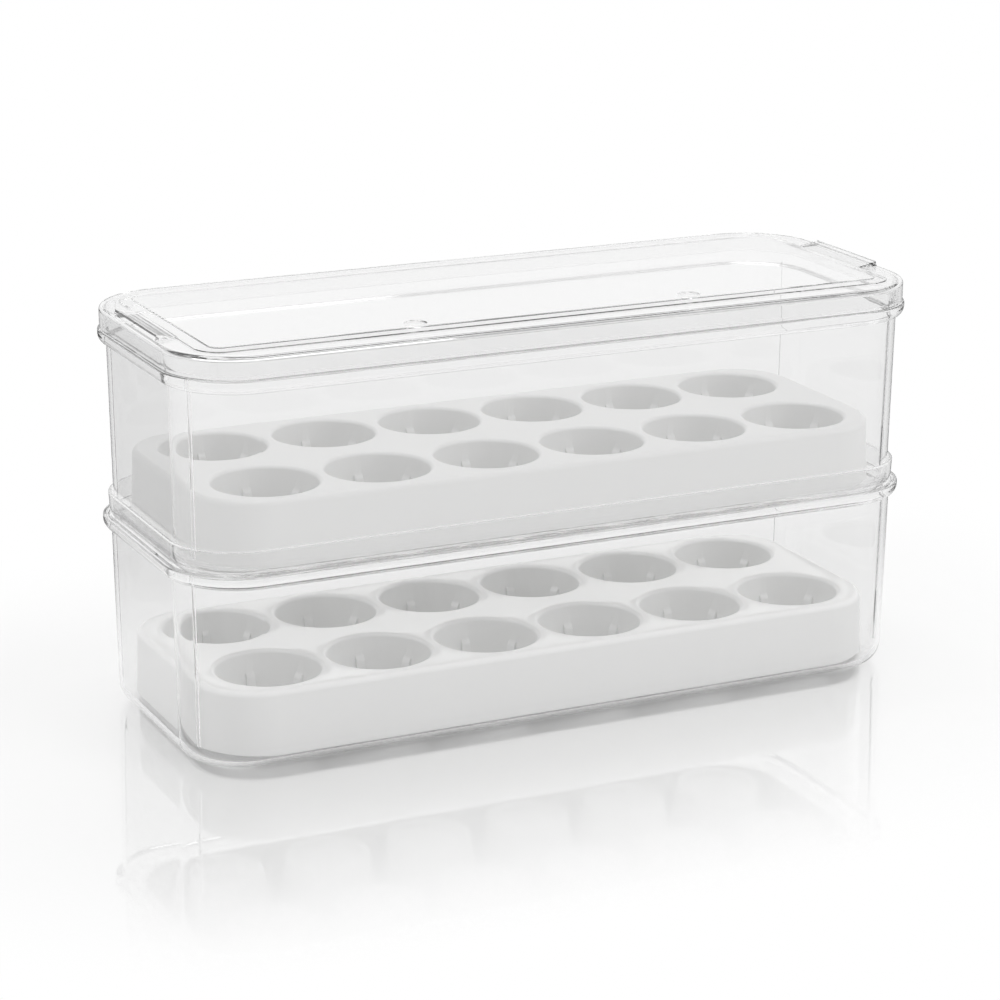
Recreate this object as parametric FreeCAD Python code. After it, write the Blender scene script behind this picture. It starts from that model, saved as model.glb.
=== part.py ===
import FreeCAD, Part
import math
import os

from FreeCAD import Vector

# Outline of the flange bead, which every bin and lid loop is set in from (mm)
flange_length = 316.0
flange_depth = 124.0
flange_corner = 30.0

# Bin walls and base
wall = 2.0
floor_thickness = 2.0
wall_inset_base = 4.45
wall_inset_top = 3.2
base_radius = 9.0
inner_base_radius = 7.0

# Flange bead round the bin's mouth
flange_underside = 76.8
flange_thickness = 1.8
flange_edge_radius = 0.7
bead_height = 3.9

# Collar above the flange and the ledge inside it that carries the next bin
collar_inset = 2.8
collar_flare = 0.5
collar_thickness = 1.4
stack_collar_height = 9.2
ledge_rise = 0.8
seat_clearance = 0.3

# Lid
lid_inset = 0.8
skirt_thickness = 1.2
skirt_height = 8.9
lid_plate = 1.5
lid_edge_radius = 1.8
lid_inner_radius = 0.8
lid_headroom = 0.4
panel_foot_inset = 10.8
panel_top_inset = 16.0
panel_rise = 1.0

# Grip lips on the lid's short ends
lip_width = 46.0
lip_rise = 2.0
lip_run = 10.0
lip_top_inset = 3.0
lip_foot_inset = 2.4

# Moulding marks on the lid: two gate wells and a rib inside each skirt corner
gate_radius = 4.5
gate_depth = 0.5
gate_spacing = 117.0
gate_edge_gap = 1.2
skirt_rib_width = 3.0
skirt_rib_proud = 0.2
skirt_rib_angle = 54.0

# Egg tray
tray_end_clearance = 4.44
tray_side_clearance = 0.44
tray_corner = 25.0
tray_wall = 1.8
tray_height = 28.3
tray_skirt_gap = 3.0
tray_draft_inset = 0.8
tray_edge_radius = 2.5

# Egg cups
cups_long = 6
cups_deep = 2
cup_end_margin = 8.0
cup_web = 1.8
cup_taper = 3.8
cup_rim_radius = 1.8
cup_wall = 1.5
cup_floor = 1.5
cup_foot_height = 2.5
cup_foot_width = 2.0
cup_ring_width = 7.5

overrun = 1.0

flange_top = flange_underside + flange_thickness
ledge_height = flange_top + ledge_rise
bin_core = (flange_length / 2 - flange_corner, flange_depth / 2 - flange_corner)
wall_slope = (wall_inset_base - wall_inset_top) / flange_underside
up = Vector(0, 0, 1)


def line(start, end):
    return Part.LineSegment(start, end).toShape()


def arc(start, middle, end):
    return Part.Arc(start, middle, end).toShape()


def quarter(start, end, centre):
    """Arc about a centre between two points, by its middle point."""
    middle = (start - centre) + (end - centre)
    middle.normalize()
    return arc(start, centre + middle * (start - centre).Length, end)


def face_of(edges):
    return Part.Face(Part.Wire(edges))


def polygon(points):
    return Part.Face(Part.makePolygon(points + points[:1]))


def at(inset, height, corner=flange_corner):
    """Profile point: how far in from the outline, and how high."""
    return Vector(corner - inset, 0, height)


def carried_round(profile, core):
    """A profile carried once round a rounded rectangle: four runs and four quarter turns."""
    half_x, half_y = core
    corners = [(half_x, -half_y), (half_x, half_y), (-half_x, half_y), (-half_x, -half_y)]
    pieces = []
    for side in range(len(corners)):
        start = Vector(*corners[side], 0)
        end = Vector(*corners[(side + 1) % len(corners)], 0)
        run = profile.extrude(Vector(0, (end - start).Length, 0))
        turn = profile.revolve(Vector(), up, 90)
        for piece, place in ((run, start), (turn, end)):
            piece.rotate(Vector(), up, 90 * side)
            piece.translate(place)
            pieces.append(piece)
    return pieces


def core_plate(core, thickness, height):
    """The flat middle of a rounded rectangle, inside its corner centres."""
    half_x, half_y = core
    return Part.makeBox(2 * half_x, 2 * half_y, thickness, Vector(-half_x, -half_y, height))


def joined(pieces):
    return pieces[0].multiFuse(pieces[1:]).removeSplitter()


def toe(inset_base, level, radius):
    """Arc from a drafted wall to the floor it meets: wall point, middle, floor point."""
    lean = math.atan(wall_slope)
    centre_height = level + radius
    centre = at(inset_base - centre_height * wall_slope + radius / math.cos(lean), centre_height)
    half_way = (math.pi / 2 + lean) / 2
    angles = (lean, half_way, math.pi / 2)
    return [centre + Vector(math.cos(a), 0, -math.sin(a)) * radius for a in angles]


def wall_inset(height):
    return wall_inset_base - height * wall_slope


def collar_inset_at(height):
    return collar_inset - collar_flare * (height - flange_top) / stack_collar_height


def seat_height():
    """Height on a bin's rounded base where it meets the ledge of the bin below."""
    ledge_edge = at(wall_inset(ledge_height) + wall, 0)
    floor_point = toe(wall_inset_base, 0, base_radius)[-1]
    reach = ledge_edge.x - floor_point.x
    return base_radius - math.sqrt(base_radius ** 2 - reach ** 2)


def skirt_room():
    """How far in from the outline the bin's inner toe is at the level of the tray's skirt edge."""
    inner_floor = toe(wall_inset_base + wall, floor_thickness, inner_base_radius)[-1]
    below = inner_base_radius - tray_skirt_gap
    return flange_corner - inner_floor.x - math.sqrt(inner_base_radius ** 2 - below ** 2)


stack_pitch = ledge_height + seat_clearance - seat_height()
lid_height = stack_pitch + flange_top
lid_collar_height = skirt_height - lid_plate - lid_headroom
tray_length = flange_length - 2 * (skirt_room() + tray_end_clearance)
tray_depth = flange_depth - 2 * (skirt_room() + tray_side_clearance)
tray_core = (tray_length / 2 - tray_corner, tray_depth / 2 - tray_corner)
cup_pitch_long = (tray_length - 2 * cup_end_margin) / cups_long
cup_pitch_deep = tray_depth / cups_deep
cup_mouth_radius = (min(cup_pitch_long, cup_pitch_deep) - cup_web) / 2 - cup_rim_radius
cup_foot_radius = cup_mouth_radius - cup_taper
cup_floor_top = cup_foot_height + cup_floor


def make_bin(collar_height):
    """Clear bin: rounded base, drafted wall, flange bead, flared collar with a ledge inside."""
    outer_wall, outer_middle, outer_floor = toe(wall_inset_base, 0, base_radius)
    inner_inset = wall_inset_base + wall
    inner_wall, inner_middle, inner_floor = toe(inner_inset, floor_thickness, inner_base_radius)
    bead_foot = at(wall_inset(flange_underside - bead_height), flange_underside - bead_height)
    bead_edge = at(0, flange_underside)
    bead_reach = bead_edge.x - bead_foot.x
    bead_radius = (bead_reach ** 2 + bead_height ** 2) / (2 * bead_reach)
    edge_low = at(0, flange_top - flange_edge_radius)
    edge_high = at(flange_edge_radius, flange_top)
    collar_foot = at(collar_inset, flange_top)
    shoulder = flange_top + collar_height - collar_thickness / 2
    collar_outer = at(collar_inset_at(shoulder), shoulder)
    collar_inner = collar_outer - Vector(collar_thickness, 0, 0)
    ledge_outer = at(collar_inset_at(ledge_height) + collar_thickness, ledge_height)
    ledge_inner = at(wall_inset(ledge_height) + wall, ledge_height)
    collar_crest = (collar_outer + collar_inner) / 2 + up * (collar_thickness / 2)
    middle_low = at(flange_corner, 0)
    middle_high = at(flange_corner, floor_thickness)
    profile = face_of([
        line(middle_low, outer_floor),
        arc(outer_floor, outer_middle, outer_wall),
        line(outer_wall, bead_foot),
        quarter(bead_foot, bead_edge, bead_edge - Vector(bead_radius, 0, 0)),
        line(bead_edge, edge_low),
        quarter(edge_low, edge_high, edge_low - Vector(flange_edge_radius, 0, 0)),
        line(edge_high, collar_foot),
        line(collar_foot, collar_outer),
        arc(collar_outer, collar_crest, collar_inner),
        line(collar_inner, ledge_outer),
        line(ledge_outer, ledge_inner),
        line(ledge_inner, inner_wall),
        arc(inner_wall, inner_middle, inner_floor),
        line(inner_floor, middle_high),
        line(middle_high, middle_low),
    ])
    return joined(carried_round(profile, bin_core) + [core_plate(bin_core, floor_thickness, 0)])


def lip_wedge(top, foot, side_gap):
    """Wedge under a lip's sloping top, set in from the lip's sides for its hollow."""
    end = flange_length / 2
    inner = end - lip_top_inset - lip_run
    half_width = lip_width / 2 - side_gap
    points = [
        Vector(inner, -half_width, foot),
        Vector(end - lip_foot_inset - side_gap, -half_width, foot),
        Vector(end - lip_foot_inset - side_gap, -half_width, top),
        Vector(end - lip_top_inset - side_gap, -half_width, top + lip_rise),
        Vector(inner, -half_width, top),
    ]
    return polygon(points).extrude(Vector(0, 2 * half_width, 0))


def make_lid():
    """Clear lid: skirt, flat border, raised panel, grip lips, gate wells and corner ribs."""
    panel_top = skirt_height + panel_rise
    skirt_inner = lid_inset + skirt_thickness
    border_under = skirt_height - lid_plate
    panel_under = panel_top - lid_plate
    edge_low = at(lid_inset, skirt_height - lid_edge_radius)
    edge_high = at(lid_inset + lid_edge_radius, skirt_height)
    bend_high = at(skirt_inner + lid_inner_radius, border_under)
    bend_low = at(skirt_inner, border_under - lid_inner_radius)
    path = [
        line(at(skirt_inner, 0), at(lid_inset, 0)),
        line(at(lid_inset, 0), edge_low),
        quarter(edge_low, edge_high, edge_low - Vector(lid_edge_radius, 0, 0)),
        line(edge_high, at(panel_foot_inset, skirt_height)),
        line(at(panel_foot_inset, skirt_height), at(panel_top_inset, panel_top)),
        line(at(panel_top_inset, panel_top), at(flange_corner, panel_top)),
        line(at(flange_corner, panel_top), at(flange_corner, panel_under)),
        line(at(flange_corner, panel_under), at(panel_top_inset, panel_under)),
        line(at(panel_top_inset, panel_under), at(panel_foot_inset, border_under)),
        line(at(panel_foot_inset, border_under), bend_high),
        quarter(bend_high, bend_low, bend_low - Vector(lid_inner_radius, 0, 0)),
        line(bend_low, at(skirt_inner, 0)),
    ]
    pieces = carried_round(face_of(path), bin_core)
    pieces.append(core_plate(bin_core, lid_plate, panel_under))
    hollows = []
    for facing in (0, 180):
        lip = lip_wedge(skirt_height, skirt_height - lid_plate / 2, 0)
        hollow = lip_wedge(border_under, border_under - overrun, lid_plate)
        for piece in (lip, hollow):
            piece.rotate(Vector(), up, facing)
        pieces.append(lip)
        hollows.append(hollow)
    rib_place = at(skirt_inner + skirt_rib_proud, 0) - Vector(0, skirt_rib_width / 2, 0)
    rib = Part.makeBox(2 * skirt_rib_proud, skirt_rib_width, border_under, rib_place)
    rib.rotate(Vector(), up, skirt_rib_angle)
    rib.translate(Vector(*bin_core, 0))
    ribs = [rib, rib.mirror(Vector(), Vector(1, 0, 0))]
    ribs += [each.mirror(Vector(), Vector(0, 1, 0)) for each in ribs]
    wells = []
    gate_y = panel_top_inset + gate_edge_gap + gate_radius - flange_depth / 2
    for side in (1, -1):
        gate = Vector(side * gate_spacing / 2, gate_y, panel_top - gate_depth)
        wells.append(Part.makeCylinder(gate_radius, gate_depth + overrun, gate))
    return joined(pieces + ribs).cut(hollows + wells).removeSplitter()


def cup_radius(height):
    """Inner radius of a cup at a height above its foot."""
    rise = (height - cup_floor_top) / (tray_height - cup_rim_radius - cup_floor_top)
    return cup_foot_radius + cup_taper * rise


def make_cup():
    """Egg cup turned about its own axis: rolled rim, tapered wall, vented floor above a foot ring."""
    mouth_height = tray_height - cup_rim_radius
    plate_under = tray_height - tray_wall
    vent_low = Vector(cup_foot_radius - cup_ring_width, 0, cup_foot_height)
    vent_high = Vector(cup_foot_radius - cup_ring_width, 0, cup_floor_top)
    outer_foot = Vector(cup_radius(0) + cup_wall, 0, 0)
    foot_low = outer_foot - Vector(cup_foot_width, 0, 0)
    foot_high = foot_low + up * cup_foot_height
    outer_neck = Vector(cup_radius(plate_under) + cup_wall, 0, plate_under)
    rim_low = Vector(cup_mouth_radius + cup_rim_radius, 0, plate_under)
    rim_high = Vector(cup_mouth_radius + cup_rim_radius, 0, tray_height)
    rim_centre = Vector(cup_mouth_radius + cup_rim_radius, 0, mouth_height)
    mouth = Vector(cup_mouth_radius, 0, mouth_height)
    inner_foot = Vector(cup_foot_radius, 0, cup_floor_top)
    profile = face_of([
        line(vent_low, foot_high),
        line(foot_high, foot_low),
        line(foot_low, outer_foot),
        line(outer_foot, outer_neck),
        line(outer_neck, rim_low),
        line(rim_low, rim_high),
        quarter(rim_high, mouth, rim_centre),
        line(mouth, inner_foot),
        line(inner_foot, vent_high),
        line(vent_high, vent_low),
    ])
    return profile.revolve(Vector(), up, 360)


def make_tray():
    """White tray: rounded shell open below, with a grid of cups that stand on the bin's floor."""
    top_under = tray_height - tray_wall

    def edge(inset, height):
        return at(inset, height, tray_corner)

    edge_low = edge(tray_draft_inset, tray_height - tray_edge_radius)
    edge_high = edge(tray_draft_inset + tray_edge_radius, tray_height)
    bend_radius = tray_edge_radius - tray_wall
    bend_low = edge(tray_draft_inset + tray_wall, top_under - bend_radius)
    bend_high = edge(tray_draft_inset + tray_wall + bend_radius, top_under)
    profile = face_of([
        line(edge(tray_wall, tray_skirt_gap), edge(0, tray_skirt_gap)),
        line(edge(0, tray_skirt_gap), edge_low),
        quarter(edge_low, edge_high, edge_low - Vector(tray_edge_radius, 0, 0)),
        line(edge_high, edge(tray_corner, tray_height)),
        line(edge(tray_corner, tray_height), edge(tray_corner, top_under)),
        line(edge(tray_corner, top_under), bend_high),
        quarter(bend_high, bend_low, bend_low - Vector(bend_radius, 0, 0)),
        line(bend_low, edge(tray_wall, tray_skirt_gap)),
    ])
    shell = joined(carried_round(profile, tray_core) + [core_plate(tray_core, tray_wall, top_under)])
    cup = make_cup()
    last_cup = Vector((cups_long - 1) * cup_pitch_long, (cups_deep - 1) * cup_pitch_deep, 0)
    mouth = Part.makeCylinder(cup_mouth_radius + cup_rim_radius, tray_height)
    cups = []
    mouths = []
    for column in range(cups_long):
        for row in range(cups_deep):
            place = Vector(column * cup_pitch_long, row * cup_pitch_deep, 0) - last_cup / 2
            mouths.append(mouth.translated(place))
            cups.append(cup.translated(place))
    return joined([shell.cut(mouths)] + cups)


def write(name, shape):
    solid = shape.Solids[0]
    print(name, len(shape.Solids), "solid, valid", solid.isValid(), "volume %.0f mm3" % solid.Volume)
    solid.exportStep(os.path.join("parts", name + ".step"))


os.makedirs("parts", exist_ok=True)
tray = make_tray()
write("lower_bin", make_bin(stack_collar_height))
write("lower_egg_tray", tray.translated(Vector(0, 0, floor_thickness)))
write("upper_bin", make_bin(lid_collar_height).translated(Vector(0, 0, stack_pitch)))
write("upper_egg_tray", tray.translated(Vector(0, 0, stack_pitch + floor_thickness)))
write("lid", make_lid().translated(Vector(0, 0, lid_height)))
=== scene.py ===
"""Egg holder: two clear stacking bins with white egg trays under a clear lid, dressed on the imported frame."""

import logging
import math
from dataclasses import dataclass
from enum import Enum

import bmesh
import bpy
from mathutils import Matrix, Vector


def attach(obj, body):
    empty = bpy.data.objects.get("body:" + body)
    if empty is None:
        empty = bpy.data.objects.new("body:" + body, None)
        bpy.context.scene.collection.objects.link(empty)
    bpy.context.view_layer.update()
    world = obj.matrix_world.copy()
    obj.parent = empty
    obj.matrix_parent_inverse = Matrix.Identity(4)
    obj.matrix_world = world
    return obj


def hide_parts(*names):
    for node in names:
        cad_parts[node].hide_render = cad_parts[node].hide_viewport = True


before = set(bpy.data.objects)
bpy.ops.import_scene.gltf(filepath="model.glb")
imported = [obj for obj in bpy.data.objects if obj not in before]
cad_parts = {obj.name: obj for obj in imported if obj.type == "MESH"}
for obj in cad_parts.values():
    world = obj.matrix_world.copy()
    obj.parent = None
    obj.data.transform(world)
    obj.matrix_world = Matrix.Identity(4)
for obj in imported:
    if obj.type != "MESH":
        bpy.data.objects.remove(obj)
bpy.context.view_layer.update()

UP = Vector((0.0, 0.0, 1.0))
SIDES = 4
WELD = 1e-6
LEVEL_TOLERANCE = 1e-5
CREASE_DEGREES = 35.0

log = logging.getLogger("egg_holder")


class Slot(Enum):
    """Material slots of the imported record."""

    CLEAR_BIN = "clear_bin"
    CLEAR_LID = "clear_lid"
    WHITE_TRAY = "white_tray"


class Level(Enum):
    """Place of a bin and its tray in the stack."""

    LOWER = "lower"
    UPPER = "upper"


class Carve(Enum):
    """How a second shape changes a piece."""

    JOIN = "UNION"
    CUT = "DIFFERENCE"


@dataclass(frozen=True)
class Outline:
    """Rounded rectangle that a wall profile is carried round, in metres.

    Attributes:
        length: Overall size along X.
        depth: Overall size along Y.
        corner: Corner radius in plan.
        corner_steps: Segments in each quarter turn.
    """

    length: float
    depth: float
    corner: float
    corner_steps: int = 24

    def corners(self) -> list[Vector]:
        """Corner centres, counter-clockwise from the front right."""
        x = self.length / 2 - self.corner
        y = self.depth / 2 - self.corner
        return [Vector((x, -y, 0.0)), Vector((x, y, 0.0)), Vector((-x, y, 0.0)), Vector((-x, -y, 0.0))]


class ProfilePen:
    """Draws a wall profile as a chain of edges, then carries it round an outline."""

    def __init__(self, bm: bmesh.types.BMesh, outline: Outline, inset: float, height: float) -> None:
        """Puts the pen down.

        Args:
            bm: Mesh to draw in, empty so far.
            outline: Rounded rectangle the profile belongs to.
            inset: Start point's distance in from the outline.
            height: Start point's height.
        """
        self.bm = bm
        self.outline = outline
        self.tip = bm.verts.new(self.place(inset, height))

    def place(self, inset: float, height: float) -> Vector:
        """Point of the profile in the plane where the first side begins."""
        return self.outline.corners()[0] + Vector((self.outline.corner - inset, 0.0, height))

    def line_to(self, inset: float, height: float) -> None:
        """Draws a straight stretch to a point."""
        self.tip = bmesh.ops.extrude_vert_indiv(self.bm, verts=[self.tip])["verts"][0]
        self.tip.co = self.place(inset, height)

    def arc(self, inset: float, height: float, degrees: float, steps: int) -> None:
        """Draws an arc about a centre.

        Args:
            inset: Centre's distance in from the outline.
            height: Centre's height.
            degrees: Turn, positive from up to outwards to down.
            steps: Segments in the arc.
        """
        turned = bmesh.ops.spin(self.bm, geom=[self.tip], cent=self.place(inset, height),
                                axis=(0.0, 1.0, 0.0), angle=math.radians(degrees), steps=steps)
        self.tip = next(item for item in turned["geom_last"] if isinstance(item, bmesh.types.BMVert))

    def carry_round(self) -> None:
        """Extrudes the chain along each side and spins it round each corner until it meets itself."""
        corners = self.outline.corners()
        edges = list(self.bm.edges)
        for side in range(SIDES):
            end = corners[(side + 1) % SIDES]
            run = bmesh.ops.extrude_edge_only(self.bm, edges=edges)["geom"]
            verts = [item for item in run if isinstance(item, bmesh.types.BMVert)]
            bmesh.ops.translate(self.bm, vec=end - corners[side], verts=verts)
            moved = set(verts)
            edges = [item for item in run
                     if isinstance(item, bmesh.types.BMEdge) and moved.issuperset(item.verts)]
            turn = bmesh.ops.spin(self.bm, geom=verts + edges, cent=end, axis=UP, angle=math.pi / 2,
                                  steps=self.outline.corner_steps)
            edges = [item for item in turn["geom_last"] if isinstance(item, bmesh.types.BMEdge)]
        bmesh.ops.remove_doubles(self.bm, verts=self.bm.verts, dist=WELD)


def fill_openings(bm: bmesh.types.BMesh) -> None:
    """Closes the flat middles that a carried profile leaves open."""
    bmesh.ops.holes_fill(bm, edges=[edge for edge in bm.edges if edge.is_boundary], sides=0)


def finished_object(bm: bmesh.types.BMesh, name: str,
                    crease_degrees: float = CREASE_DEGREES) -> bpy.types.Object:
    """Turns a bmesh into a smooth-shaded object with its creases kept.

    Args:
        bm: Finished mesh, freed here.
        name: Object's name.
        crease_degrees: Edges that turn more than this stay sharp.

    Returns:
        The object, at the origin, linked to the scene.
    """
    bmesh.ops.recalc_face_normals(bm, faces=bm.faces)
    mesh = bpy.data.meshes.new(name)
    bm.to_mesh(mesh)
    bm.free()
    obj = bpy.data.objects.new(name, mesh)
    bpy.context.scene.collection.objects.link(obj)
    shade(obj, crease_degrees)
    return obj


def shade(obj: bpy.types.Object, crease_degrees: float) -> None:
    """Smooth shading with sharp creases, flat faces kept flat.

    Args:
        obj: Object to shade.
        crease_degrees: Edges that turn more than this stay sharp.
    """
    mesh = obj.data
    kept = mesh.attributes.get("custom_normal")
    if kept:
        mesh.attributes.remove(kept)
    mesh.polygons.foreach_set("use_smooth", [True] * len(mesh.polygons))
    mesh.set_sharp_from_angle(angle=math.radians(crease_degrees))
    if "flat_faces" not in obj.modifiers:
        weighted = obj.modifiers.new("flat_faces", "WEIGHTED_NORMAL")
        weighted.keep_sharp = True
        weighted.weight = 100


def carve(obj: bpy.types.Object, tool: bpy.types.Object, how: Carve) -> None:
    """Joins or cuts a piece with a second shape, which is used up.

    Args:
        obj: Piece that changes.
        tool: Shape to join to it or cut from it.
        how: Which of the two.
    """
    modifier = obj.modifiers.new("carve", "BOOLEAN")
    modifier.operation = how.value
    modifier.solver = "EXACT"
    modifier.object = tool
    hidden = [other for other in obj.modifiers if other.type != "BOOLEAN"]
    for other in hidden:
        other.show_viewport = False
    graph = bpy.context.evaluated_depsgraph_get()
    carved = bpy.data.meshes.new_from_object(obj.evaluated_get(graph))
    old = obj.data
    obj.modifiers.remove(modifier)
    for other in hidden:
        other.show_viewport = True
    obj.data = carved
    bpy.data.meshes.remove(old)
    carved.name = obj.name
    tool_mesh = tool.data
    bpy.data.objects.remove(tool)
    bpy.data.meshes.remove(tool_mesh)
    bm = bmesh.new()
    bm.from_mesh(carved)
    bmesh.ops.dissolve_degenerate(bm, dist=WELD, edges=bm.edges)
    bm.to_mesh(carved)
    bm.free()


class MouldedSkin:
    """Shader node group shared by the plastics: handling haze and a slow moulding ripple with fine grain."""

    NAME = "moulded_skin"
    RIPPLE_DETAIL = 3.0
    GRAIN_DETAIL = 4.0
    HAZE_FROM = 0.35
    HAZE_TO = 0.70

    @classmethod
    def group(cls) -> bpy.types.ShaderNodeTree:
        """The group, built on its first use."""
        return bpy.data.node_groups.get(cls.NAME) or cls._build()

    @classmethod
    def _build(cls) -> bpy.types.ShaderNodeTree:
        """Builds the group.

        Returns:
            A tree that puts out Haze (0 to 1) and Height from Object coordinates.
        """
        tree = bpy.data.node_groups.new(cls.NAME, "ShaderNodeTree")
        for name, default in (("Ripple Scale", 18.0), ("Grain Scale", 900.0), ("Grain Share", 0.2)):
            socket = tree.interface.new_socket(name, in_out="INPUT", socket_type="NodeSocketFloat")
            socket.default_value = default
        tree.interface.new_socket("Haze", in_out="OUTPUT", socket_type="NodeSocketFloat")
        tree.interface.new_socket("Height", in_out="OUTPUT", socket_type="NodeSocketFloat")
        nodes, links = tree.nodes, tree.links
        inputs = nodes.new("NodeGroupInput")
        outputs = nodes.new("NodeGroupOutput")
        coords = nodes.new("ShaderNodeTexCoord")
        ripple = nodes.new("ShaderNodeTexNoise")
        ripple.inputs["Detail"].default_value = cls.RIPPLE_DETAIL
        grain = nodes.new("ShaderNodeTexNoise")
        grain.inputs["Detail"].default_value = cls.GRAIN_DETAIL
        cloud = nodes.new("ShaderNodeMapRange")
        cloud.inputs["From Min"].default_value = cls.HAZE_FROM
        cloud.inputs["From Max"].default_value = cls.HAZE_TO
        blend = nodes.new("ShaderNodeMix")
        for noise, scale in ((ripple, "Ripple Scale"), (grain, "Grain Scale")):
            links.new(coords.outputs["Object"], noise.inputs["Vector"])
            links.new(inputs.outputs[scale], noise.inputs["Scale"])
        links.new(ripple.outputs["Fac"], cloud.inputs["Value"])
        links.new(cloud.outputs["Result"], outputs.inputs["Haze"])
        links.new(inputs.outputs["Grain Share"], blend.inputs["Factor"])
        links.new(ripple.outputs["Fac"], blend.inputs["A"])
        links.new(grain.outputs["Fac"], blend.inputs["B"])
        links.new(blend.outputs["Result"], outputs.inputs["Height"])
        return tree


@dataclass(frozen=True)
class Plastic:
    """A moulded plastic finish.

    Attributes:
        name: Material's name.
        colour: Base colour, linear.
        polished: Roughness where the surface is cleanest.
        handled: Roughness where it is most handled.
        bump: Strength of the moulding ripple and grain.
        bump_distance: Depth of the bump in metres.
        ripple_scale: Ripples per metre.
        grain_share: Share of fine grain in the bump.
        ior: Index of refraction.
        transmission: 1 for a clear plastic, 0 for an opaque one.
    """

    name: str
    colour: tuple[float, float, float]
    polished: float
    handled: float
    bump: float
    bump_distance: float
    ripple_scale: float
    grain_share: float
    ior: float = 1.49
    transmission: float = 0.0

    def material(self) -> bpy.types.Material:
        """The material, built on its first use."""
        return bpy.data.materials.get(self.name) or self._build()

    def _build(self) -> bpy.types.Material:
        """Builds the material's nodes.

        Returns:
            A Principled material whose roughness and normal vary with the moulded skin.
        """
        material = bpy.data.materials.new(self.name)
        material.use_nodes = True
        nodes, links = material.node_tree.nodes, material.node_tree.links
        shader = nodes["Principled BSDF"]
        shader.inputs["Base Color"].default_value = (*self.colour, 1.0)
        shader.inputs["IOR"].default_value = self.ior
        shader.inputs["Transmission Weight"].default_value = self.transmission
        skin = nodes.new("ShaderNodeGroup")
        skin.node_tree = MouldedSkin.group()
        skin.inputs["Ripple Scale"].default_value = self.ripple_scale
        skin.inputs["Grain Share"].default_value = self.grain_share
        gloss = nodes.new("ShaderNodeMapRange")
        gloss.inputs["To Min"].default_value = self.polished
        gloss.inputs["To Max"].default_value = self.handled
        bump = nodes.new("ShaderNodeBump")
        bump.inputs["Strength"].default_value = self.bump
        bump.inputs["Distance"].default_value = self.bump_distance
        links.new(skin.outputs["Haze"], gloss.inputs["Value"])
        links.new(gloss.outputs["Result"], shader.inputs["Roughness"])
        links.new(skin.outputs["Height"], bump.inputs["Height"])
        links.new(bump.outputs["Normal"], shader.inputs["Normal"])
        return material


CLEAR = Plastic("clear_plastic", colour=(0.945, 0.945, 0.945), polished=0.0, handled=0.035, bump=0.05,
                bump_distance=0.0004, ripple_scale=14.0, grain_share=0.0, transmission=1.0)
WHITE = Plastic("white_plastic", colour=(0.86, 0.86, 0.855), polished=0.28, handled=0.40, bump=0.15,
                bump_distance=0.0002, ripple_scale=22.0, grain_share=0.5)

FLANGE = Outline(length=0.316, depth=0.124, corner=0.030)
STACK_PITCH = 0.07452
SENSOR_WIDTH = 36.0
REST_GAP = 0.00002  # a hair of air, so that a tray's feet and the floor below don't share a plane


def dress(obj: bpy.types.Object, finish: Plastic, body: str) -> None:
    """Gives a piece its finish and puts it in place of the CAD node of the same body.

    Args:
        obj: The finished piece.
        finish: Its plastic.
        body: CAD body and node that it rides on and stands for.
    """
    obj.data.materials.clear()
    obj.data.materials.append(finish.material())
    obj.visible_shadow = finish.transmission == 0.0
    obj.visible_diffuse = finish.transmission == 0.0
    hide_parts(body)
    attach(obj, body)
    log.info("%s: %d faces, %s", obj.name, len(obj.data.polygons), finish.name)


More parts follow.
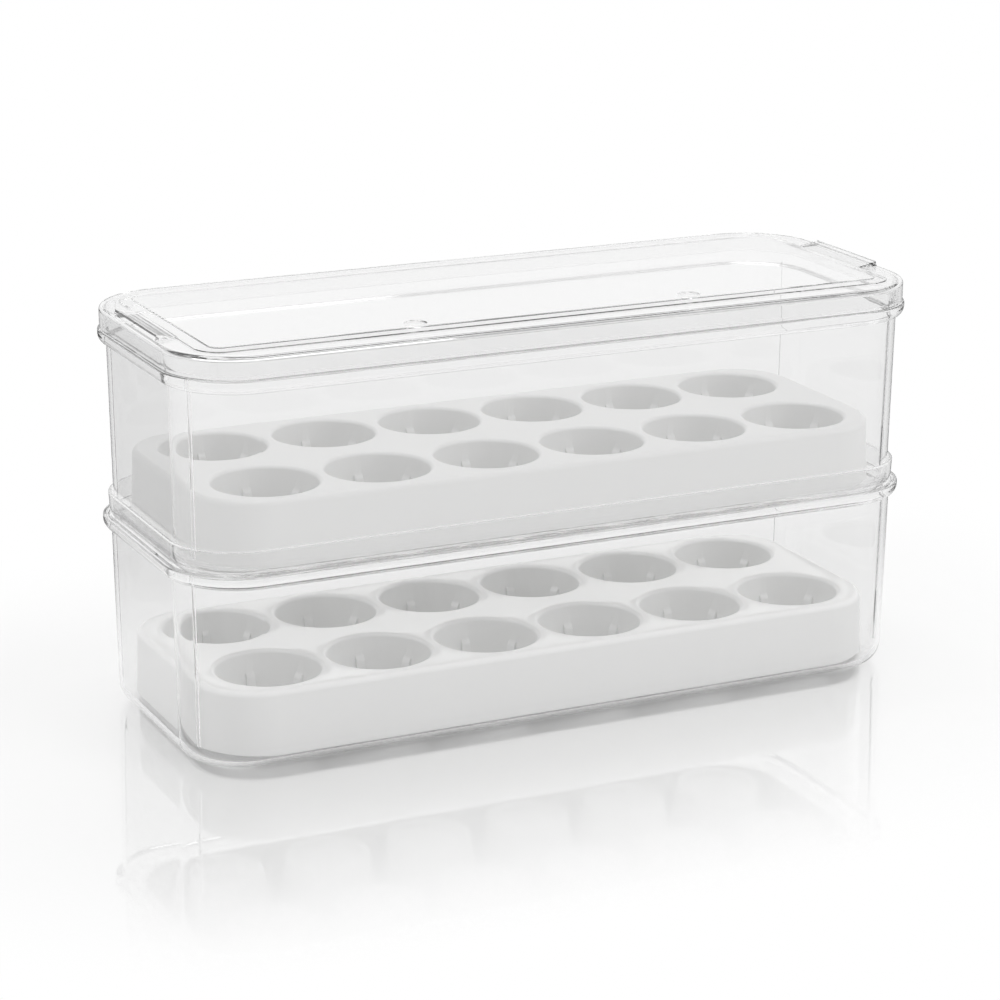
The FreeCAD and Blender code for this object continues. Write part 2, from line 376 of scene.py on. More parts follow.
@dataclass
class ClearBin:
    """Clear bin: rounded base, drafted wall, flange bead, and a flared collar with a ledge inside.

    Attributes:
        level: Which bin of the stack.
        base: Height of its base in the stack.
        collar_height: How far the collar stands above the flange.

    Lengths are in metres, heights from the bin's own base, and insets in from the flange's outline.
    The upright values are those of the fine bead inside each corner.
    """

    level: Level
    base: float
    collar_height: float
    wall: float = 0.002
    floor: float = 0.002
    wall_inset_base: float = 0.00445
    wall_inset_top: float = 0.0032
    base_radius: float = 0.009
    inner_base_radius: float = 0.007
    flange_underside: float = 0.0768
    flange_top: float = 0.0786
    flange_edge_radius: float = 0.0007
    bead_height: float = 0.0039
    collar_inset: float = 0.0028
    collar_flare: float = 0.0005
    collar_flare_height: float = 0.0092
    collar_thickness: float = 0.0014
    ledge_height: float = 0.0794
    upright_radius: float = 0.0008
    upright_proud: float = 0.0007
    upright_degrees: float = 28.0
    upright_steps: int = 20
    arc_steps: int = 10

    @property
    def slope(self) -> float:
        """Wall's outward lean, as inset lost per height."""
        return (self.wall_inset_base - self.wall_inset_top) / self.flange_underside

    def wall_inset(self, height: float) -> float:
        """Outer wall's inset at a height."""
        return self.wall_inset_base - height * self.slope

    def collar_inset_at(self, height: float) -> float:
        """Collar's outer inset at a height."""
        return self.collar_inset - self.collar_flare * (height - self.flange_top) / self.collar_flare_height

    def toe_centre(self, inset_base: float, level: float, radius: float) -> tuple[float, float]:
        """Centre of the arc that joins a drafted wall to a floor.

        Args:
            inset_base: Wall's inset at height zero.
            level: Floor's height.
            radius: Arc's radius.

        Returns:
            Inset and height of the centre.
        """
        height = level + radius
        return inset_base - height * self.slope + radius / math.cos(math.atan(self.slope)), height

    def build(self) -> bpy.types.Object:
        """Draws the profile and carries it round.

        Returns:
            The bin's object, at its place in the stack.
        """
        lean = math.degrees(math.atan(self.slope))
        bm = bmesh.new()
        pen = ProfilePen(bm, FLANGE, FLANGE.corner, 0.0)
        toe = self.toe_centre(self.wall_inset_base, 0.0, self.base_radius)
        pen.line_to(toe[0], 0.0)
        pen.arc(*toe, lean - 90.0, self.arc_steps)
        foot = self.flange_underside - self.bead_height
        reach = self.wall_inset(foot)
        bead_radius = (reach ** 2 + self.bead_height ** 2) / (2 * reach)
        pen.line_to(reach, foot)
        bead_turn = math.degrees(math.asin(self.bead_height / bead_radius))
        pen.arc(bead_radius, self.flange_underside, -bead_turn, self.arc_steps)
        pen.line_to(0.0, self.flange_top - self.flange_edge_radius)
        pen.arc(self.flange_edge_radius, self.flange_top - self.flange_edge_radius, -90.0,
                self.arc_steps // 2)
        pen.line_to(self.collar_inset, self.flange_top)
        shoulder = self.flange_top + self.collar_height - self.collar_thickness / 2
        pen.line_to(self.collar_inset_at(shoulder), shoulder)
        pen.arc(self.collar_inset_at(shoulder) + self.collar_thickness / 2, shoulder, -180.0,
                self.arc_steps)
        pen.line_to(self.collar_inset_at(self.ledge_height) + self.collar_thickness, self.ledge_height)
        pen.line_to(self.wall_inset(self.ledge_height) + self.wall, self.ledge_height)
        bend = self.toe_centre(self.wall_inset_base + self.wall, self.floor, self.inner_base_radius)
        bend_top = bend[1] - self.inner_base_radius * math.sin(math.radians(lean))
        pen.line_to(self.wall_inset(bend_top) + self.wall, bend_top)
        pen.arc(*bend, 90.0 - lean, self.arc_steps)
        pen.line_to(FLANGE.corner, self.floor)
        pen.carry_round()
        fill_openings(bm)
        shell = finished_object(bm, f"{self.level.value}_bin_clear")
        for right in (1, -1):
            for back in (1, -1):
                carve(shell, self.corner_bead(right, back, bend_top), Carve.JOIN)
        shell.data.transform(Matrix.Translation(UP * self.base))
        shade(shell, CREASE_DEGREES)
        return shell

    def corner_bead(self, right: int, back: int, foot: float) -> bpy.types.Object:
        """Fine upright bead inside a corner, from the base's bend to below the ledge.

        Args:
            right: 1 for a right corner, -1 for a left one.
            back: 1 for a back corner, -1 for a front one.
            foot: Height where it starts.

        Returns:
            The bead's object.
        """
        top = self.ledge_height - self.collar_thickness
        angle = math.radians(self.upright_degrees)
        out = Vector((right * math.cos(angle), back * math.sin(angle), 0.0))
        axis = Vector((right, back, 1.0)) * FLANGE.corners()[1]
        bm = bmesh.new()
        bmesh.ops.create_cone(bm, cap_ends=True, segments=self.upright_steps, radius1=self.upright_radius,
                              radius2=self.upright_radius, depth=top - foot)
        bmesh.ops.translate(bm, vec=axis + UP * (foot + top) / 2, verts=bm.verts)
        for vert in bm.verts:
            sunk = self.wall_inset(vert.co.z) + self.wall + self.upright_proud - self.upright_radius
            vert.co += out * (FLANGE.corner - sunk)
        return finished_object(bm, "corner_bead")

    def dress(self, obj: bpy.types.Object) -> None:
        """Clear plastic, in place of the CAD bin."""
        dress(obj, CLEAR, f"{self.level.value}_bin")


@dataclass
class EggTray:
    """White tray: a rounded shell open below, with a grid of ribbed cups that stand on the bin's floor.

    Attributes:
        level: Which tray of the stack.
        base: Height of its cup bottoms in the stack.

    Lengths are in metres, and heights from the tray's own feet.
    """

    level: Level
    base: float
    outline: Outline = Outline(length=0.292, depth=0.108, corner=0.025, corner_steps=18)
    wall: float = 0.0018
    height: float = 0.0283
    skirt_gap: float = 0.003
    draft_inset: float = 0.0008
    edge_radius: float = 0.0025
    cups_long: int = 6
    cups_deep: int = 2
    pitch_long: float = 0.046
    pitch_deep: float = 0.054
    mouth_radius: float = 0.0203
    foot_radius: float = 0.0165
    rim_radius: float = 0.0018
    cup_wall: float = 0.0015
    cup_floor: float = 0.0015
    foot_height: float = 0.0025
    foot_width: float = 0.002
    vent_radius: float = 0.009
    cup_steps: int = 72
    ribs: int = 6
    rib_width: float = 0.004
    rib_proud: float = 0.0014
    rib_drop: float = 0.0065
    rib_fade: float = 0.003
    rib_first_degrees: float = 30.0
    rib_soften: float = 0.0009
    rib_soften_steps: int = 2
    arc_steps: int = 8

    def cup_radius(self, height: float) -> float:
        """Cup's inner radius at a height above its foot."""
        floor_top = self.foot_height + self.cup_floor
        rise = (height - floor_top) / (self.height - self.rim_radius - floor_top)
        return self.foot_radius + (self.mouth_radius - self.foot_radius) * rise

    def cup_centres(self) -> list[Vector]:
        """Axes of the cups, at their feet."""
        last = Vector(((self.cups_long - 1) * self.pitch_long, (self.cups_deep - 1) * self.pitch_deep, 0.0))
        return [Vector((column * self.pitch_long, row * self.pitch_deep, 0.0)) - last / 2
                for column in range(self.cups_long) for row in range(self.cups_deep)]

    def draw_shell(self, bm: bmesh.types.BMesh) -> None:
        """Skirt and rounded top edge, left open in the middle above and below.

        Args:
            bm: Mesh to draw in, empty so far.
        """
        under = self.height - self.wall
        bend = self.edge_radius - self.wall
        pen = ProfilePen(bm, self.outline, self.draft_inset + self.edge_radius, self.height)
        pen.arc(self.draft_inset + self.edge_radius, self.height - self.edge_radius, 90.0, self.arc_steps)
        pen.line_to(0.0, self.skirt_gap)
        pen.line_to(self.wall, self.skirt_gap)
        pen.line_to(self.draft_inset + self.wall, under - bend)
        pen.arc(self.draft_inset + self.wall + bend, under - bend, -90.0, self.arc_steps // 2)
        pen.carry_round()

    def draw_cup(self, bm: bmesh.types.BMesh, centre: Vector) -> None:
        """One cup turned about its axis, open where it joins the tray's top.

        Args:
            bm: Mesh to draw in.
            centre: Cup's axis at its foot.
        """
        under = self.height - self.wall
        rim = self.mouth_radius + self.rim_radius
        start = bm.verts.new(centre + Vector((rim, 0.0, self.height)))
        rim_centre = centre + Vector((rim, 0.0, self.height - self.rim_radius))
        roll = bmesh.ops.spin(bm, geom=[start], cent=rim_centre, axis=(0.0, 1.0, 0.0), angle=-math.pi / 2,
                              steps=self.arc_steps)
        tip = next(item for item in roll["geom_last"] if isinstance(item, bmesh.types.BMVert))
        floor_top = self.foot_height + self.cup_floor
        outer_foot = self.cup_radius(0.0) + self.cup_wall
        inner_foot = outer_foot - self.foot_width
        stations = [(self.foot_radius, floor_top), (self.vent_radius, floor_top),
                    (self.vent_radius, self.foot_height), (inner_foot, self.foot_height), (inner_foot, 0.0),
                    (outer_foot, 0.0), (self.cup_radius(under) + self.cup_wall, under)]
        for radius, height in stations:
            tip = bmesh.ops.extrude_vert_indiv(bm, verts=[tip])["verts"][0]
            tip.co = centre + Vector((radius, 0.0, height))
        chain = self.chain_from(start)
        bmesh.ops.spin(bm, geom=chain, cent=centre, axis=UP, angle=2 * math.pi, steps=self.cup_steps,
                       use_merge=True)

    @staticmethod
    def chain_from(start: bmesh.types.BMVert) -> list[bmesh.types.BMVert | bmesh.types.BMEdge]:
        """Vertices and edges of the open chain that begins at a vertex.

        Args:
            start: First vertex of the chain.

        Returns:
            The chain in order, edges among its vertices.
        """
        found: list[bmesh.types.BMVert | bmesh.types.BMEdge] = [start]
        vert, edge = start, None
        while True:
            onward = [other for other in vert.link_edges if other is not edge]
            if not onward:
                return found
            edge = onward[0]
            vert = edge.other_vert(vert)
            found += [edge, vert]

    def draw_ribs(self, bm: bmesh.types.BMesh, centre: Vector) -> None:
        """Ring of softened ribs on a cup's wall.

        Args:
            bm: Mesh to draw in.
            centre: Cup's axis at its foot.
        """
        top = self.height - self.rib_drop
        sunk = self.cup_wall / 2
        root = self.foot_height + self.cup_floor / 2
        points = [(self.foot_radius - self.rib_proud, root), (self.foot_radius + sunk, root),
                  (self.cup_radius(top) + sunk, top),
                  (self.cup_radius(top - self.rib_fade) - self.rib_proud, top - self.rib_fade)]
        verts = [bm.verts.new(centre + Vector((radius, -self.rib_width / 2, height)))
                 for radius, height in points]
        face = bmesh.ops.contextual_create(bm, geom=verts)["faces"][0]
        pulled = bmesh.ops.extrude_face_region(bm, geom=[face], use_keep_orig=True)["geom"]
        far = [item for item in pulled if isinstance(item, bmesh.types.BMVert)]
        bmesh.ops.translate(bm, vec=(0.0, self.rib_width, 0.0), verts=far)
        rib_verts = verts + far
        rib_edges = list({edge for vert in rib_verts for edge in vert.link_edges})
        soft = bmesh.ops.bevel(bm, geom=rib_edges, offset=self.rib_soften, offset_type="OFFSET",
                               segments=self.rib_soften_steps, profile=0.5, affect="EDGES", material=-1)
        verts = list({vert for face in soft["faces"] for vert in face.verts})
        faces = list({face for vert in verts for face in vert.link_faces})
        edges = list({edge for face in faces for edge in face.edges})
        geom = verts + edges + faces
        step = 2 * math.pi / self.ribs
        bmesh.ops.rotate(bm, cent=centre, verts=verts,
                         matrix=Matrix.Rotation(math.radians(self.rib_first_degrees), 3, "Z"))
        bmesh.ops.spin(bm, geom=geom, cent=centre, axis=UP, angle=step * (self.ribs - 1), steps=self.ribs - 1,
                       use_duplicate=True)

    def fill_level(self, bm: bmesh.types.BMesh, height: float) -> None:
        """Fills the flat sheet between the skirt and the cups at a height.

        Args:
            bm: Mesh with open loops at that height.
            height: Sheet's height.
        """
        loops = [edge for edge in bm.edges if edge.is_boundary
                 and all(abs(vert.co.z - height) < LEVEL_TOLERANCE for vert in edge.verts)]
        bmesh.ops.triangle_fill(bm, use_beauty=True, use_dissolve=False, edges=loops, normal=UP)

    def build(self) -> bpy.types.Object:
        """Shell, cups, the sheet that joins them, and ribs.

        Returns:
            The tray's object, at its place in the stack.
        """
        bm = bmesh.new()
        self.draw_shell(bm)
        for centre in self.cup_centres():
            self.draw_cup(bm, centre)
        self.fill_level(bm, self.height)
        self.fill_level(bm, self.height - self.wall)
        tray = finished_object(bm, f"{self.level.value}_egg_tray_white")
        ribs = bmesh.new()
        for centre in self.cup_centres():
            self.draw_ribs(ribs, centre)
        carve(tray, finished_object(ribs, "cup_ribs"), Carve.JOIN)
        tray.data.transform(Matrix.Translation(UP * self.base))
        shade(tray, CREASE_DEGREES)
        return tray

    def dress(self, obj: bpy.types.Object) -> None:
        """White plastic, in place of the CAD tray."""
        dress(obj, WHITE, f"{self.level.value}_egg_tray")


@dataclass
class ClearLid:
    """Clear lid: skirt, flat border, raised panel, a grip lip at each short end and two gate wells.

    Attributes:
        base: Height of the skirt's lower edge in the stack.

    Lengths are in metres, heights from the skirt's lower edge, and insets in from the flange's outline.
    """

    base: float
    inset: float = 0.0008
    skirt: float = 0.0012
    height: float = 0.0089
    plate: float = 0.0015
    edge_radius: float = 0.0018
    inner_radius: float = 0.0008
    panel_foot_inset: float = 0.0108
    panel_top_inset: float = 0.016
    panel_corner: float = 0.005
    panel_rise: float = 0.001
    panel_step: float = 0.0003
    recess_step: float = 0.000075
    lip_width: float = 0.046
    lip_rise: float = 0.002
    lip_run: float = 0.010
    lip_top_inset: float = 0.003
    lip_foot_inset: float = 0.0024
    gate_radius: float = 0.0045
    gate_taper: float = 0.06
    gate_steps: int = 40
    gate_depth: float = 0.0005
    gate_spacing: float = 0.117
    gate_edge_gap: float = 0.0012
    rib_width: float = 0.003
    rib_proud: float = 0.0002
    rib_degrees: float = 54.0
    overrun: float = 0.001
    crease_degrees: float = 20.0
    arc_steps: int = 8

    def draw_plate(self, bm: bmesh.types.BMesh) -> None:
        """Skirt and flat plate in one wall.

        Args:
            bm: Mesh to draw in, empty so far.
        """
        under = self.height - self.plate
        inner = self.inset + self.skirt
        pen = ProfilePen(bm, FLANGE, FLANGE.corner, self.height)
        pen.line_to(self.inset + self.edge_radius, self.height)
        pen.arc(self.inset + self.edge_radius, self.height - self.edge_radius, 90.0, self.arc_steps)
        pen.line_to(self.inset, 0.0)
        pen.line_to(inner, 0.0)
        pen.line_to(inner, under - self.inner_radius)
        pen.arc(inner + self.inner_radius, under - self.inner_radius, -90.0, self.arc_steps // 2)
        pen.line_to(FLANGE.corner, under)
        pen.carry_round()
        fill_openings(bm)

    def panel_block(self, name: str, shoulder: float, foot: float, step: float) -> bpy.types.Object:
        """Raised panel with its sloping edge, or the hollow under it.

        Args:
            name: Object's name.
            shoulder: Height where the slope starts.
            foot: Height of the block's underside.
            step: Size of the fine steps at the slope's ends.

        Returns:
            The block's object.
        """
        run = self.panel_top_inset - self.panel_foot_inset
        outline = Outline(FLANGE.length - 2 * self.panel_foot_inset, FLANGE.depth - 2 * self.panel_foot_inset,
                          run + self.panel_corner)
        top = shoulder + self.panel_rise
        bm = bmesh.new()
        pen = ProfilePen(bm, outline, outline.corner, top)
        pen.line_to(run, top)
        pen.line_to(run - step, top - step)
        pen.line_to(step, shoulder + step)
        pen.line_to(0.0, shoulder)
        pen.line_to(0.0, foot)
        pen.line_to(outline.corner, foot)
        pen.carry_round()
        fill_openings(bm)
        return finished_object(bm, name)

    def lip_wedge(self, name: str, top: float, foot: float, gap: float, side: int) -> bpy.types.Object:
        """Wedge under a lip's sloping top, or the hollow inside it.

        Args:
            name: Object's name.
            top: Height of the wedge's thin end.
            foot: Height of its underside.
            gap: How far it is set in from the lip's faces.
            side: 1 for the right end, -1 for the left.

        Returns:
            The wedge's object.
        """
        end = FLANGE.length / 2
        inner = end - self.lip_top_inset - self.lip_run
        half = self.lip_width / 2 - gap
        outer = end - self.lip_foot_inset - gap
        crest = end - self.lip_top_inset - gap
        points = [(inner, foot), (outer, foot), (outer, top), (crest, top + self.lip_rise), (inner, top)]
        bm = bmesh.new()
        face = bmesh.ops.contextual_create(
            bm, geom=[bm.verts.new((side * x, -half, z)) for x, z in points])["faces"][0]
        pulled = bmesh.ops.extrude_face_region(bm, geom=[face], use_keep_orig=True)["geom"]
        bmesh.ops.translate(bm, vec=(0.0, 2 * half, 0.0),
                            verts=[item for item in pulled if isinstance(item, bmesh.types.BMVert)])
        return finished_object(bm, name)

    def gate_well(self, side: int) -> bpy.types.Object:
        """Shallow round cutter for a gate well.

        Args:
            side: 1 for the right one, -1 for the left.

        Returns:
            The cutter's object.
        """
        bm = bmesh.new()
        depth = self.gate_depth + self.overrun
        bmesh.ops.create_cone(bm, cap_ends=True, segments=self.gate_steps, depth=depth,
                              radius1=self.gate_radius * (1.0 - self.gate_taper),
                              radius2=self.gate_radius * (1.0 + self.gate_taper))
        y = self.panel_top_inset + self.gate_edge_gap + self.gate_radius - FLANGE.depth / 2
        z = self.height + self.panel_rise - self.gate_depth + depth / 2
        bmesh.ops.translate(bm, vec=(side * self.gate_spacing / 2, y, z), verts=bm.verts)
        return finished_object(bm, "gate_well")

    def skirt_rib(self, right: int, back: int) -> bpy.types.Object:
        """Low upright rib inside a corner of the skirt.

        Args:
            right: 1 for a right corner, -1 for a left one.
            back: 1 for a back corner, -1 for a front one.

        Returns:
            The rib's object.
        """
        bm = bmesh.new()
        bmesh.ops.create_cube(bm, size=1.0)
        tall = self.height - self.plate
        bmesh.ops.scale(bm, vec=(2 * self.rib_proud, self.rib_width, tall), verts=bm.verts)
        reach = FLANGE.corner - self.inset - self.skirt
        bmesh.ops.translate(bm, vec=(reach, 0.0, tall / 2), verts=bm.verts)
        bmesh.ops.rotate(bm, cent=(0.0, 0.0, 0.0), verts=bm.verts,
                         matrix=Matrix.Rotation(math.radians(self.rib_degrees), 3, "Z"))
        bmesh.ops.translate(bm, vec=FLANGE.corners()[1], verts=bm.verts)
        bmesh.ops.scale(bm, vec=(right, back, 1.0), verts=bm.verts)
        return finished_object(bm, "skirt_rib")

    def build(self) -> bpy.types.Object:
        """Plate with its lips and ribs joined and its hollows and wells cut.

        Returns:
            The lid's object, at its place in the stack.
        """
        bm = bmesh.new()
        self.draw_plate(bm)
        lid = finished_object(bm, "lid_clear")
        under = self.height - self.plate
        middle = self.height - self.plate / 2
        carve(lid, self.panel_block("panel", self.height, middle, self.panel_step), Carve.JOIN)
        carve(lid, self.panel_block("recess", under, under - self.overrun, self.recess_step), Carve.CUT)
        for side in (1, -1):
            carve(lid, self.lip_wedge("lip", self.height, middle, 0.0, side), Carve.JOIN)
            carve(lid, self.lip_wedge("hollow", under, under - self.overrun, self.plate, side), Carve.CUT)
            carve(lid, self.gate_well(side), Carve.CUT)
            for back in (1, -1):
                carve(lid, self.skirt_rib(side, back), Carve.JOIN)
        lid.data.transform(Matrix.Translation(UP * self.base))
        shade(lid, self.crease_degrees)
        return lid

    def dress(self, obj: bpy.types.Object) -> None:
        """Clear plastic, in place of the CAD lid."""
        dress(obj, CLEAR, "lid")


@dataclass(frozen=True)
class Lamp:
    """Soft square lamp.

    Attributes:
        name: Lamp's name.
        place: Where it hangs, metres.
        size: Side of the square, metres.
        power: Power in watts.
    """

    name: str
    place: tuple[float, float, float]
    size: float
    power: float

    def hang(self, target: Vector) -> bpy.types.Object:
        """Adds the lamp to the scene.

        Args:
            target: Point that it is aimed at.

        Returns:
            The lamp's object.
        """
        data = bpy.data.lights.new(self.name, "AREA")
        data.size = self.size
        data.energy = self.power
        lamp = bpy.data.objects.new(self.name, data)
        lamp.location = self.place
        lamp.rotation_euler = (target - Vector(self.place)).to_track_quat("-Z", "Y").to_euler()
        bpy.context.scene.collection.objects.link(lamp)
        return lamp


ABOVE = Lamp("above", place=(0.0, 0.2, 1.6), size=1.2, power=8.0)
LEFT = Lamp("left", place=(-1.5, -0.6, 0.8), size=1.0, power=1.0)
RIGHT = Lamp("right", place=(1.3, -1.1, 0.9), size=1.0, power=6.0)
LOWER_FILL = Lamp("lower_fill", place=(0.0, 0.1, 1.6), size=1.2, power=15.5)


@dataclass(frozen=True)
class Studio:
    """Pale floor, soft light and the camera.

    Attributes:
        target: Point the camera's axis passes through.
        azimuth: Camera's turn about the object, degrees.
        elevation: Camera's height angle, degrees.
        roll: Camera's tilt about its own axis, degrees.
        distance: Camera's distance from the target, metres.
        lens: Focal length on a 36 mm sensor, millimetres.
        shift: Sensor shift as shares of the image width.
        surround_light: Strength of the light that the surround gives.
        grey_from: Height on the unit sky where the surround starts to grey.
        grey_to: Height on the unit sky where it is greyest.
        grey_level: How pale it still is there.
        floor_size: Half the floor's side, metres.
        floor_colour: The floor's grey.
        floor_roughness: Roughness under its polish.
        floor_lift: Light that the floor gives of itself, as from a lit table.
        floor_mirror: Share of the floor's look that is its polish, where it is seen at a flat angle.
        floor_grazing: Facing values between which that polish comes up.
        mirror_colour: The polish's grey.
        mirror_roughness: The polish's roughness.
        floor_near: Distance from the object up to which the floor is lit like a floor, metres.
        floor_far: Distance where it has faded into the surround, metres.
        painted_reflection_grey: Painted grey that the far floor shows only to reflection rays, so that the
            clear walls reflect painted shade.
        bounces: Reflections and refractions followed inside the clear walls.
    """

    target: tuple[float, float, float] = (0.0, 0.0, 0.08)
    azimuth: float = -25.79
    elevation: float = 16.40
    roll: float = 0.32
    distance: float = 1.2624
    lens: float = 113.15
    shift: tuple[float, float] = (-0.0081, -0.01115)
    surround_light: float = 0.60
    grey_from: float = 0.32
    grey_to: float = 0.75
    grey_level: float = 0.52
    floor_size: float = 6.0
    floor_colour: float = 0.93
    floor_roughness: float = 0.4
    floor_lift: float = 0.08
    floor_mirror: float = 0.5
    floor_grazing: tuple[float, float] = (0.25, 0.60)
    mirror_colour: float = 0.98
    mirror_roughness: float = 0.02
    floor_near: float = 0.02
    floor_far: float = 0.17
    # painted reflection: the far floor shows this grey only to reflection rays, so the clear walls reflect
    # painted shade
    painted_reflection_grey: float = 0.10
    bounces: int = 48

    def camera(self) -> None:
        """Places the camera at the photograph's viewing angle."""
        azimuth, elevation, roll = (math.radians(angle)
                                    for angle in (self.azimuth, self.elevation, self.roll))
        back = Vector((math.sin(azimuth) * math.cos(elevation), -math.cos(azimuth) * math.cos(elevation),
                       math.sin(elevation)))
        right = UP.cross(back).normalized()
        above = back.cross(right)
        turned = Matrix.Rotation(roll, 4, back) @ Matrix((right, above, back)).transposed().to_4x4()
        data = bpy.data.cameras.new("camera")
        data.lens = self.lens
        data.sensor_width = SENSOR_WIDTH
        data.shift_x, data.shift_y = self.shift
        camera = bpy.data.objects.new("camera", data)
        camera.matrix_world = Matrix.Translation(Vector(self.target) + back * self.distance) @ turned
        bpy.context.scene.collection.objects.link(camera)
        bpy.context.scene.camera = camera

    def world(self) -> None:
        """White surround that greys overhead, so that clear edges read. Its light is apart from its look."""
        world = bpy.data.worlds.new("surround")
        world.use_nodes = True
        nodes, links = world.node_tree.nodes, world.node_tree.links
        nodes.clear()
        path = nodes.new("ShaderNodeLightPath")
        seen = nodes.new("ShaderNodeMath")
        seen.operation = "MAXIMUM"
        through = nodes.new("ShaderNodeMath")
        through.operation = "MAXIMUM"
        coords = nodes.new("ShaderNodeTexCoord")
        split = nodes.new("ShaderNodeSeparateXYZ")
        grey = nodes.new("ShaderNodeMapRange")
        grey.interpolation_type = "SMOOTHSTEP"
        grey.inputs["From Min"].default_value = self.grey_from
        grey.inputs["From Max"].default_value = self.grey_to
        grey.inputs["To Min"].default_value = 1.0
        grey.inputs["To Max"].default_value = self.grey_level
        shown = nodes.new("ShaderNodeBackground")
        light = nodes.new("ShaderNodeBackground")
        light.inputs["Strength"].default_value = self.surround_light
        mix = nodes.new("ShaderNodeMixShader")
        output = nodes.new("ShaderNodeOutputWorld")
        light.inputs["Color"].default_value = (1.0, 1.0, 1.0, 1.0)
        links.new(coords.outputs["Generated"], split.inputs["Vector"])
        links.new(split.outputs["Z"], grey.inputs["Value"])
        links.new(grey.outputs["Result"], shown.inputs["Color"])
        links.new(path.outputs["Is Camera Ray"], seen.inputs[0])
        links.new(path.outputs["Is Glossy Ray"], seen.inputs[1])
        links.new(seen.outputs["Value"], through.inputs[0])
        links.new(path.outputs["Is Transmission Ray"], through.inputs[1])
        links.new(through.outputs["Value"], mix.inputs["Fac"])
        links.new(light.outputs["Background"], mix.inputs[1])
        links.new(shown.outputs["Background"], mix.inputs[2])
        links.new(mix.outputs["Shader"], output.inputs["Surface"])
        bpy.context.scene.world = world

    def floor(self) -> None:
        """Polished white floor that keeps the object's shadow and reflection and fades into the surround; to
        reflection rays the far floor shows a painted grey, a painted reflection of shade in the clear walls.
        """
        bm = bmesh.new()
        bmesh.ops.create_grid(bm, x_segments=1, y_segments=1, size=self.floor_size)
        floor = finished_object(bm, "floor")
        material = bpy.data.materials.new("pale_floor")
        material.use_nodes = True
        nodes, links = material.node_tree.nodes, material.node_tree.links
        shader = nodes["Principled BSDF"]
        shader.inputs["Base Color"].default_value = (*[self.floor_colour] * 3, 1.0)
        shader.inputs["Roughness"].default_value = self.floor_roughness
        shader.inputs["Emission Color"].default_value = (1.0, 1.0, 1.0, 1.0)
        shader.inputs["Emission Strength"].default_value = self.floor_lift
        mirror = nodes.new("ShaderNodeBsdfGlossy")
        mirror.inputs["Color"].default_value = (*[self.mirror_colour] * 3, 1.0)
        mirror.inputs["Roughness"].default_value = self.mirror_roughness
        polish = nodes.new("ShaderNodeMixShader")
        facing = nodes.new("ShaderNodeLayerWeight")
        grazing = nodes.new("ShaderNodeMapRange")
        grazing.inputs["From Min"].default_value = self.floor_grazing[0]
        grazing.inputs["From Max"].default_value = self.floor_grazing[1]
        grazing.inputs["To Max"].default_value = self.floor_mirror
        path = nodes.new("ShaderNodeLightPath")
        mirrored = nodes.new("ShaderNodeMath")
        mirrored.operation = "SUBTRACT"
        mirrored.use_clamp = True
        # painted reflection: the far floor's white turns grey for reflection rays only, which paints shade into
        # the clear walls' reflections
        painted_reflection_tone = nodes.new("ShaderNodeMapRange")
        painted_reflection_tone.inputs["To Min"].default_value = 1.0
        painted_reflection_tone.inputs["To Max"].default_value = self.painted_reflection_grey
        coords = nodes.new("ShaderNodeTexCoord")
        across = nodes.new("ShaderNodeVectorMath")
        across.operation = "ABSOLUTE"
        beyond = nodes.new("ShaderNodeVectorMath")
        beyond.operation = "SUBTRACT"
        beyond.inputs[1].default_value = (FLANGE.length / 2, FLANGE.depth / 2, 0.0)
        outside = nodes.new("ShaderNodeVectorMath")
        outside.operation = "MAXIMUM"
        outside.inputs[1].default_value = (0.0, 0.0, 0.0)
        reach = nodes.new("ShaderNodeVectorMath")
        reach.operation = "LENGTH"
        fade = nodes.new("ShaderNodeMapRange")
        fade.interpolation_type = "SMOOTHSTEP"
        fade.inputs["From Min"].default_value = self.floor_near
        fade.inputs["From Max"].default_value = self.floor_far
        white = nodes.new("ShaderNodeEmission")
        mix = nodes.new("ShaderNodeMixShader")
        links.new(facing.outputs["Facing"], grazing.inputs["Value"])
        links.new(grazing.outputs["Result"], polish.inputs["Fac"])
        links.new(path.outputs["Is Glossy Ray"], mirrored.inputs[0])
        links.new(path.outputs["Is Transmission Ray"], mirrored.inputs[1])
        links.new(mirrored.outputs["Value"], painted_reflection_tone.inputs["Value"])
        links.new(painted_reflection_tone.outputs["Result"], white.inputs["Color"])
        links.new(coords.outputs["Object"], across.inputs[0])
        links.new(across.outputs["Vector"], beyond.inputs[0])
        links.new(beyond.outputs["Vector"], outside.inputs[0])
        links.new(outside.outputs["Vector"], reach.inputs[0])
        links.new(reach.outputs["Value"], fade.inputs["Value"])
        links.new(fade.outputs["Result"], mix.inputs["Fac"])
        links.new(shader.outputs["BSDF"], polish.inputs[1])
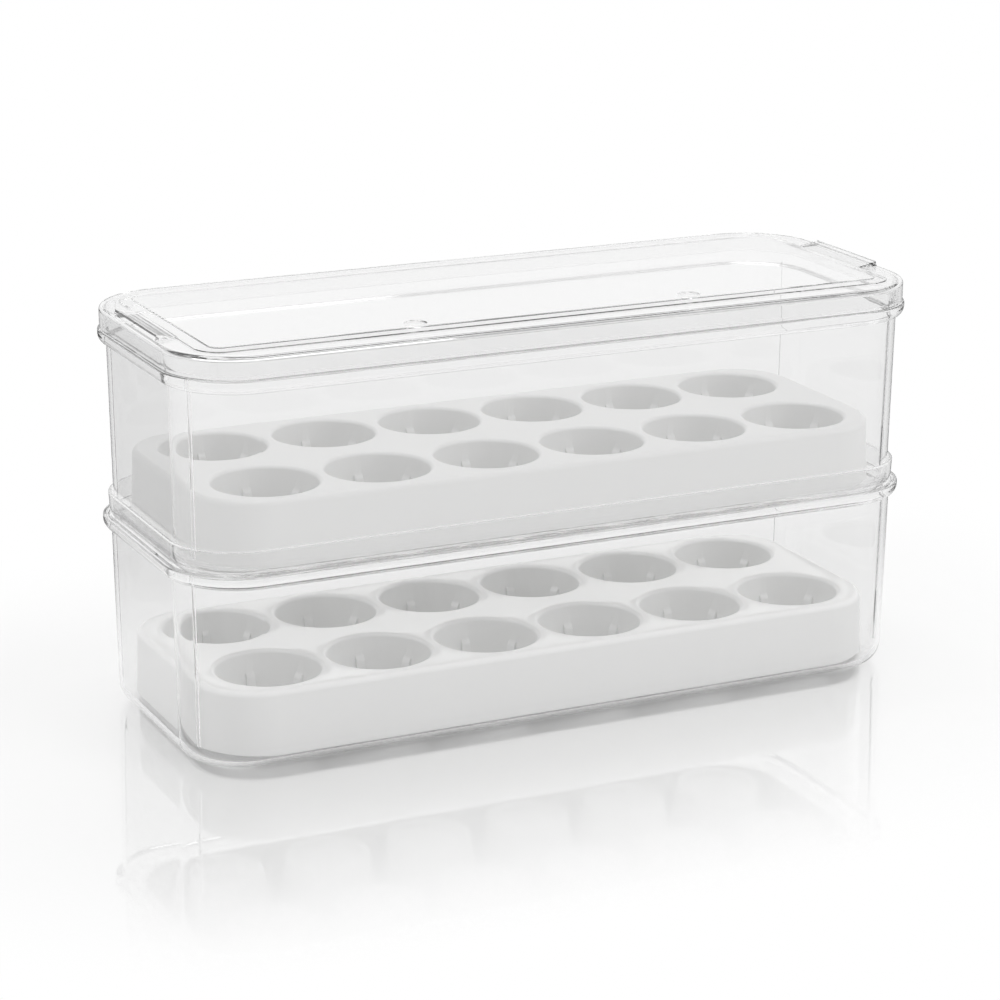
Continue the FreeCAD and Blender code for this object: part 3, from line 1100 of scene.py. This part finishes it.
        links.new(mirror.outputs["BSDF"], polish.inputs[2])
        links.new(polish.outputs["Shader"], mix.inputs[1])
        links.new(white.outputs["Emission"], mix.inputs[2])
        links.new(mix.outputs["Shader"], nodes["Material Output"].inputs["Surface"])
        floor.data.materials.append(material)

    def light(self, tray: bpy.types.Object) -> None:
        """Soft lamps above and to each side, and one for the tray that the upper bin shades.

        Args:
            tray: The lower tray.
        """
        above, _, right, fill = (lamp.hang(Vector(self.target)) for lamp in (ABOVE, LEFT, RIGHT, LOWER_FILL))
        right.visible_glossy = False
        spared = bpy.data.collections.new("above_spares")
        spared.objects.link(tray)
        spared.collection_objects[0].light_linking.link_state = "EXCLUDE"
        above.light_linking.receiver_collection = spared
        alone = bpy.data.collections.new("lower_fill")
        alone.objects.link(tray)
        fill.light_linking.receiver_collection = fill.light_linking.blocker_collection = alone

    def build(self, tray: bpy.types.Object) -> None:
        """Sets the stage and the way colours are shown.

        Args:
            tray: The lower tray, which has a lamp of its own.
        """
        self.camera()
        self.world()
        self.floor()
        self.light(tray)
        bpy.context.scene.view_settings.view_transform = "Standard"
        cycles = bpy.context.scene.cycles
        cycles.max_bounces = cycles.transmission_bounces = cycles.glossy_bounces = self.bounces
        log.info("studio: camera at %.0f degrees, %.0f above", self.azimuth, self.elevation)


def main() -> None:
    """Builds the stack from the base up, then the studio."""
    logging.basicConfig(level=logging.INFO, format="%(name)s: %(message)s")
    lower_bin = ClearBin(Level.LOWER, base=0.0, collar_height=0.0092)
    upper_bin = ClearBin(Level.UPPER, base=STACK_PITCH, collar_height=0.0070)
    parts = [
        lower_bin,
        EggTray(Level.LOWER, base=lower_bin.base + lower_bin.floor + REST_GAP),
        upper_bin,
        EggTray(Level.UPPER, base=upper_bin.base + upper_bin.floor + REST_GAP),
        ClearLid(base=upper_bin.base + upper_bin.flange_top),
    ]
    shown = [part.build() for part in parts]
    for part, obj in zip(parts, shown):
        part.dress(obj)
    Studio().build(shown[1])


if __name__ == "__main__":
    main()
